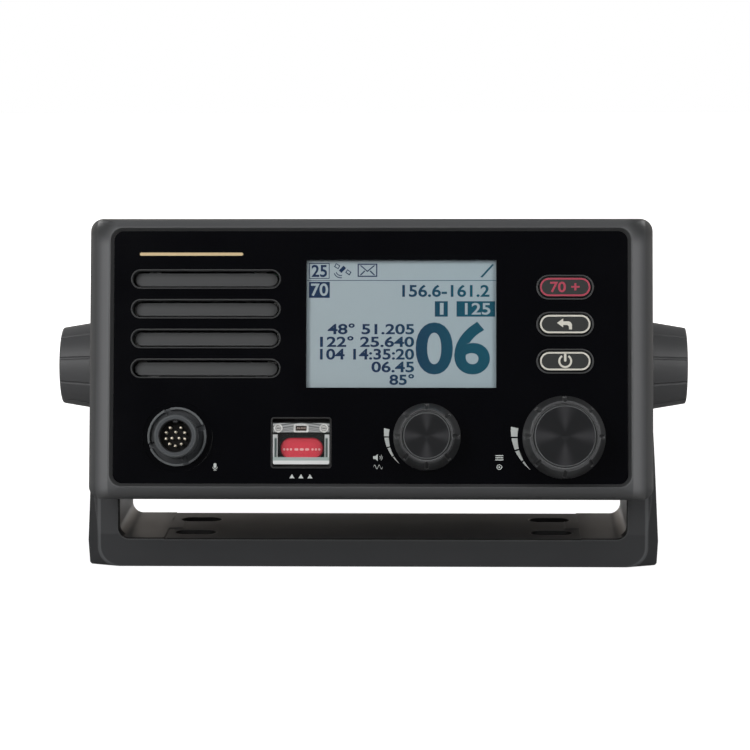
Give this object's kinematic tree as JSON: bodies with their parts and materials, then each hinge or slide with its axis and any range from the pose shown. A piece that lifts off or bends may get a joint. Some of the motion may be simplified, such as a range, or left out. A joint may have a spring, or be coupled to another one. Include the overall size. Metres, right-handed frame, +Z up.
{
  "type": "fixed-mount vhf marine radio",
  "caption": "Marine radio head with display, knobs, sprung keys and a covered distress key, held by clamp knobs between the arms of a U-shaped gimbal bracket.",
  "frame": {"origin": "centre of the gimbal bracket's underside, on the surface that it is screwed to", "axes": "+Z up, +X to the user's right, -Y towards the user"},
  "size_m": [0.23, 0.1527, 0.1276],
  "materials": {
    "bracket_plastic": "fine matt moulded texture",
    "clamp_knob_plastic": "satin moulded",
    "stud_steel": "turned and threaded stainless",
    "insert_brass": "turned",
    "washer_rubber": "matt",
    "bezel_plastic": "satin charcoal moulding",
    "panel_gloss": "gloss black",
    "grille_plastic": "satin moulded",
    "speaker_metal": "black painted pressing",
    "speaker_cone_paper": "black coated paper",
    "display_window_glass": "clear, polished",
    "display_panel": "liquid crystal on a reflector",
    "backlight_plastic": "white light guide",
    "socket_plastic": "satin moulded",
    "insert_black": "matt insulator",
    "contact_gold": "gold plated",
    "nut_steel": "nickel plated",
    "well_plastic": "black moulded",
    "cover_clear": "clear polycarbonate",
    "distress_red": "red silicone",
    "spring_steel": "drawn wire",
    "knob_plastic": "satin moulded",
    "cap_aluminium": "spun, dark anodised",
    "shaft_metal": "turned",
    "encoder_body": "folded case",
    "key_rubber": "silicone",
    "switch_plastic": "moulded",
    "board_laminate": "solder mask",
    "screw_steel": "stainless",
    "chassis_casting": "black powder coat on a die casting",
    "gasket_rubber": "closed-cell",
    "shield_tin": "tinned",
    "socket_nickel": "nickel plated",
    "insulator_white": "white insulator",
    "gland_plastic": "moulded"
  },
  "bodies": {
    "bracket": {"mounting_bracket": "bracket_plastic"},
    "head": {"pivot_washers": "washer_rubber", "pivot_inserts": "insert_brass", "front_bezel": "bezel_plastic", "front_panel": "panel_gloss", "speaker_grille": "grille_plastic", "speaker_frame": "speaker_metal", "speaker_cone": "speaker_cone_paper", "display_window": "display_window_glass", "display_module": "display_panel", "display_backlight": "backlight_plastic", "mic_socket_shell": "socket_plastic", "mic_socket_insert": "insert_black", "mic_socket_pins": "contact_gold", "mic_socket_nut": "nut_steel", "distress_well": "well_plastic", "cover_hinge_pin": "spring_steel", "cover_spring": "spring_steel", "volume_encoder": "encoder_body", "menu_encoder": "encoder_body", "encoder_nuts": "nut_steel", "key_rims": "key_rubber", "key_switches": "switch_plastic", "distress_switch": "switch_plastic", "front_board": "board_laminate", "front_board_screws": "screw_steel", "chassis": "chassis_casting", "case_gasket": "gasket_rubber", "case_screws": "screw_steel", "main_board": "board_laminate", "main_board_screws": "screw_steel", "rf_shield": "shield_tin", "antenna_socket": "socket_nickel", "antenna_insulator": "insulator_white", "antenna_contact": "contact_gold", "antenna_screws": "screw_steel", "gps_socket": "socket_nickel", "network_socket": "gland_plastic", "network_pins": "contact_gold", "power_gland": "gland_plastic", "ground_screw": "screw_steel"},
    "clamp_left": {"clamp_knob_left": "clamp_knob_plastic", "clamp_stud_left": "stud_steel"},
    "clamp_right": {"clamp_knob_right": "clamp_knob_plastic", "clamp_stud_right": "stud_steel"},
    "volume_push": {"volume_plunger": "switch_plastic"},
    "volume_turn": {"volume_knob": "knob_plastic", "volume_knob_cap": "cap_aluminium", "volume_shaft": "shaft_metal"},
    "menu_push": {"menu_plunger": "switch_plastic"},
    "menu_turn": {"menu_knob": "knob_plastic", "menu_knob_cap": "cap_aluminium", "menu_shaft": "shaft_metal"},
    "channel_press": {"channel_key": "key_rubber"},
    "back_press": {"back_key": "key_rubber"},
    "power_press": {"power_key": "key_rubber"},
    "cover": {"distress_cover": "cover_clear"},
    "distress_press": {"distress_button": "distress_red"}
  },
  "joints": [
    {"name": "tilt", "type": "hinge", "parent": "bracket", "child": "head", "pos_m": [0, 0, 0.0705], "axis": [-1, 0, 0], "range_deg": [-13, 11]},
    {"name": "clamp_left_turn", "type": "hinge", "parent": "bracket", "child": "clamp_left", "pos_m": [-0.105, 0, 0.0705], "axis": [-1, 0, 0], "continuous": true},
    {"name": "clamp_right_turn", "type": "hinge", "parent": "bracket", "child": "clamp_right", "pos_m": [0.105, 0, 0.0705], "axis": [1, 0, 0], "continuous": true},
    {"name": "volume_knob_push", "type": "slide", "parent": "head", "child": "volume_push", "axis": [0, 0.9799, -0.1994], "range_m": [0, 0.0007], "stiffness_N_per_m": 900, "springref_m": -0.002},
    {"name": "volume_knob_turn", "type": "hinge", "parent": "volume_push", "child": "volume_turn", "pos_m": [0.0202, -0.05268, 0.05234], "axis": [0, -0.9799, 0.1994], "continuous": true},
    {"name": "menu_knob_push", "type": "slide", "parent": "head", "child": "menu_push", "axis": [0, 0.9799, -0.1994], "range_m": [0, 0.0007], "stiffness_N_per_m": 900, "springref_m": -0.002},
    {"name": "menu_knob_turn", "type": "hinge", "parent": "menu_push", "child": "menu_turn", "pos_m": [0.0686, -0.0527, 0.05224], "axis": [0, -0.9799, 0.1994], "continuous": true},
    {"name": "channel_key_push", "type": "slide", "parent": "head", "child": "channel_press", "axis": [0, 0.9799, -0.1994], "range_m": [0, 0.0008], "stiffness_N_per_m": 500, "springref_m": -0.002},
    {"name": "back_key_push", "type": "slide", "parent": "head", "child": "back_press", "axis": [0, 0.9799, -0.1994], "range_m": [0, 0.0008], "stiffness_N_per_m": 500, "springref_m": -0.002},
    {"name": "power_key_push", "type": "slide", "parent": "head", "child": "power_press", "axis": [0, 0.9799, -0.1994], "range_m": [0, 0.0008], "stiffness_N_per_m": 500, "springref_m": -0.002},
    {"name": "distress_cover_lift", "type": "hinge", "parent": "head", "child": "cover", "pos_m": [-0.0244, -0.04928, 0.05476], "axis": [-1, 0, 0], "range_deg": [0, 110], "stiffness_Nm_per_rad": 0.0012, "springref_deg": -34.38},
    {"name": "distress_key_push", "type": "slide", "parent": "head", "child": "distress_press", "axis": [0, 0.9799, -0.1994], "range_m": [0, 0.0012], "stiffness_N_per_m": 600, "springref_m": -0.002}
  ]
}
